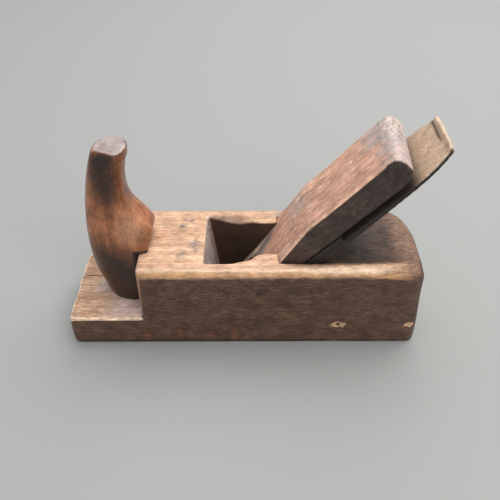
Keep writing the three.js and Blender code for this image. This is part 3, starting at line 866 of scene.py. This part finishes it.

# %% [markdown]
# The wedge's sides are dark where they slide in the stock's grease, and the near side is painted
# darker towards the struck end as shade. Its face is bare wood that greys towards the struck end
# and at the kink, where it is handled. The bevel of the fork is grey too, with a painted highlight
# along each prong. The inside of the fork is painted dark as shade, and small checks darken the
# end.

# %% Paint the wedge's skin
# The fork is this far to each side, and its bevel rises to this place up the bed.
FORK_HALF, BEVEL_TOP, BEVEL_RISE, BEVEL_SLANT = 17.5, 64, 21, 27.3
s, t = on_bed(skin.places)
y = skin.places[:, 1]
front, tip = facing @ OFF_BED, facing @ UP_BED
lumps = noise(skin.places, 7, 35)
near = ramp(-facing[:, 1], 0.5, 0.85)
far = ramp(facing[:, 1], 0.5, 0.85)
skin.mask("handled", np.clip(near + 0.6 * far + ramp(-front, 0.6, 0.9), 0, 1))
# Painted shade on the near side towards the struck end.
shaded = 0.6 * near * ramp(s, 95, 150)
facing_out = ramp(front, 0.3, 0.8)
bands = noise(skin.places @ np.array([UP_BED, (0, 1, 0), OFF_BED]).T, 3.2, 37, (9, 1, 1))
end_grey = 0.85 * ramp(s + 9 * bands + 0.35 * y, 140, 168) * ramp(tip + 0.8 * front, 0.1, 0.6)
kink = np.exp(-(((s - 90 - 3 * lumps) / 13) ** 2)) * facing_out * ramp(y + 9 * lumps, -8, 6)
off_line = (FORK_HALF * (BEVEL_TOP - s) - BEVEL_RISE * (FORK_HALF - np.abs(y))) / BEVEL_SLANT
bevel = ramp(off_line, 0.0, 0.7) * ramp(front, 0.3, 0.6) * (np.abs(y) < 18.5)
low_near = spot(np.c_[s, y, t], (68, -18, 22), (16, 5, 9)) * facing_out
banded = 0.3 * ramp(bands, 0.2, 1) * facing_out
skin.mask("grey", np.maximum.reduce([end_grey, 0.5 * kink, bevel, 0.6 * low_near, banded]))
# Painted shade inside the fork.
fork_shade = (np.abs(y) < 18) * (s < 36.5) * (1 - ramp(front, 0.3, 0.6))
front_soft = skin.evened(front, 3)
arris = ramp(front_soft, 0.3, 0.55) * (1 - ramp(front_soft, 0.93, 0.995))
arris *= (s < 158) * (np.abs(y) > 19)
worn_flecks = 0.8 * ramp(noise(skin.places, 2.2, 38, (2, 1, 2)), 0.62, 0.8) * facing_out * (s > 70)
# A painted highlight along each prong.
prong_highlight = ramp(np.abs(y), 16.6, 17.3) * (np.abs(y) < 18) * (s < 62) * ramp(front, 0.2, 0.6)
skin.mask("pale", np.maximum.reduce([worn_flecks, prong_highlight, 0.3 * struck * (y > 5)]))
skin.mask("tan", arris * (1.0 + 0.4 * knocks))
checks = struck * ramp(noise(skin.places, 1.5, 36, (1, 2, 1)), 0.15, 0.6) * ramp(y, -4, 8)
skin.mask("grime_and_shade", np.clip(0.6 * checks + ramp(-proud, 0.12, 0.4) + fork_shade + shaded, 0, 1))

# %% [markdown]
# The wedge's grain runs up the bed, so the same wood is turned by the bed's angle.

# %% The wedge's finish
WEDGE_SKIN = [
    ("handled", "#463730", 0.1),
    ("grey", "#bdada9", 0.16),
    ("grime_and_shade", "#382c28", 0.2),
    ("tan", "#f0c3a2", 0.1),
    ("pale", "#efd2b6", 0.16),
]
# Planed beech that has lost its oil: pinkish and dull, greying to silver at the struck end.
wedge_wood = worn_wood(
    "weathered_beech_wedge", ("#e2b095", "#c99a84"), WEDGE_SKIN, (40, 1.3, 1.3),
    turn=BED_ANGLE, streaky=0.4,
)
skin.finish(wedge_wood, "wedge", "wedge")

# %% [markdown]
# ## The irons
# The iron is forged steel that has rusted to a thin khaki-brown coat with grey steel freckles.
# Years of hammer taps have mushroomed its end into a lip. The cap iron, its screw and the small
# nail are darker, because the wedge and the cheek have kept them dry and greasy, and their colour
# also paints the shade they lie in. An image of rust would need a seam somewhere. Noise in three
# sizes gives lumps, pits and grit without one.

# %% Rusted steel


def rusted_steel(name, coat, deep, bare, pit, metal):
    """Steel under rust of two browns in large lumps, with bare freckles that are pit mm wide."""
    material, tree, surface = new_material(name)
    own = add(tree, "TexCoord", out=3)
    # Real pits are 0.2 to 0.5 mm wide. They are drawn about 1 mm wide, so that they show.
    sizes = {"lumps": pit * 5, "spots": pit, "grit": pit * 0.35}
    made = {}
    for kind, size in sizes.items():
        lumps = {"Vector": own, "Scale": 1 / (size * MM), "Detail": 4, "Roughness": 0.65}
        made[kind] = add(tree, "TexNoise", lumps)
    share = add(tree, "MapRange", {0: made["lumps"], 1: 0.35, 2: 0.65})
    colour = {0: share, 6: linear(coat), 7: linear(deep)}
    colour = add(tree, "Mix", colour, out=2, data_type="RGBA")
    freckle = add(tree, "MapRange", {0: made["spots"], 1: 0.54, 2: 0.66})
    mixed = {0: freckle, 6: colour, 7: linear(bare)}
    colour = add(tree, "Mix", mixed, out=2, data_type="RGBA")
    dirt = add(tree, "MapRange", {0: made["grit"], 1: 0.34, 2: 0.66, 3: 0.66, 4: 1.34})
    colour = add(tree, "VectorMath", {0: colour, "Scale": dirt}, operation="SCALE")
    # The dark mask tints dark edges and also paints shade and shadow.
    for mask, tint in (("dark", "#291f1c"), ("pale", "#d9c3a6")):
        held = add(tree, "Attribute", out=2, attribute_name=mask)
        colour = add(tree, "Mix", {0: held, 6: colour, 7: linear(tint)}, out=2, data_type="RGBA")
    bump = {"Height": made["spots"], "Strength": 0.4, "Distance": 0.08 * MM}
    shader = {
        "Base Color": colour,
        "Metallic": metal,
        "Roughness": add(tree, "MapRange", {0: made["grit"], 1: 0.3, 2: 0.7, 3: 0.45, 4: 0.7}),
        "Normal": add(tree, "Bump", bump),
    }
    tree.links.new(add(tree, "BsdfPrincipled", shader), surface)
    print(name, "nodes:", len(tree.nodes))
    return material


# Forged steel under dry rust: khaki, matt and grainy, with hardly any metal left to shine.
iron_steel = rusted_steel("rusted_forged_steel", "#e8c9aa", "#c9ab90", "#948a81", 1.1, 0.05)
# Forged steel kept greasy and painted darker as shade: nearly black, with a dull metal gleam.
dark_steel = rusted_steel("greased_steel_and_shade", "#39312c", "#2e2723", "#4d4641", 0.9, 0.3)

# %% [markdown]
# The iron needs only a touch of wear on its faces. Its end is bruised: noise pushes the points
# up the bed and off it, more towards the edge, which makes the lip of a mushroomed end.

# %% Shape the iron
iron = fine_copy("iron_steel", "iron", 0.6)
skin = Skin(iron)
skin.places = skin.evened(skin.places, 1)
s, t = on_bed(skin.places)
y = skin.places[:, 1]
end = ramp(s, 183.5, 188.5)
proud = skin.wear(3, 0.5 * np.ones(skin.count))
bruise = noise(skin.places, 4.5, 41, (1, 1, 1)) + 0.4 * noise(skin.places, 1.8, 42)
skin.places += np.outer(end * (0.25 + 0.45 * bruise), UP_BED)
skin.places += np.outer(end * (t > 1.5) * 0.5 * (1 + bruise), OFF_BED)
facing = skin.facing()
print("deepest wear, mm:", round(float(proud.max()), 2))

# %% [markdown]
# The lip is polished by the hammer, and below it lies a painted shadow, where the lip shades the
# face. The edges are dark, with a thin light line on the upper arris, and the face is dark where
# the wedge covers it: dark rust and grease, with painted shade.

# %% Paint the iron
LIP_SHADOW_S = 184.6
lip = end * ramp(facing @ UP_BED + 0.7 * (facing @ OFF_BED), 0.3, 0.8)
# A painted shadow below the mushroomed lip.
lip_shadow = np.exp(-(((s - LIP_SHADOW_S + 0.4 * bruise) / 0.9) ** 2)) * ramp(y, -8, 0) * (t > 1)
edge = ramp(np.abs(facing[:, 1]), 0.6, 0.9)
top_arris = ramp(proud, 0.1, 0.22) * ramp(facing @ OFF_BED, 0.1, 0.5)
# Painted shade, over dark rust and grease, where the wedge covers the face.
covered = (1 - ramp(s, 158, 170)) * ramp(facing @ OFF_BED, 0.3, 0.7)
skin.mask("dark", np.clip(edge + 0.9 * lip_shadow + 0.95 * covered, 0, 1))
skin.mask("pale", np.clip(0.7 * lip + 0.5 * top_arris, 0, 1) * (0.8 + 0.2 * bruise))
skin.finish(iron_steel, "iron", "iron")

# %% [markdown]
# The cap iron, the screw and the nail need no new shape, since hardly any of them shows. Their
# CAD solids stay and get the dark steel. A copy with wear would only add faces.

# %% Dark steel parts
DARK_PARTS = {"cap_iron": "cap_steel", "cap_screw": "screw_steel", "cheek_nail": "nail_iron"}
for name, slot in DARK_PARTS.items():
    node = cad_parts[name]
    node.data.materials.clear()
    node.data.materials.append(dark_steel)
    print(name, "takes the slot", slot)
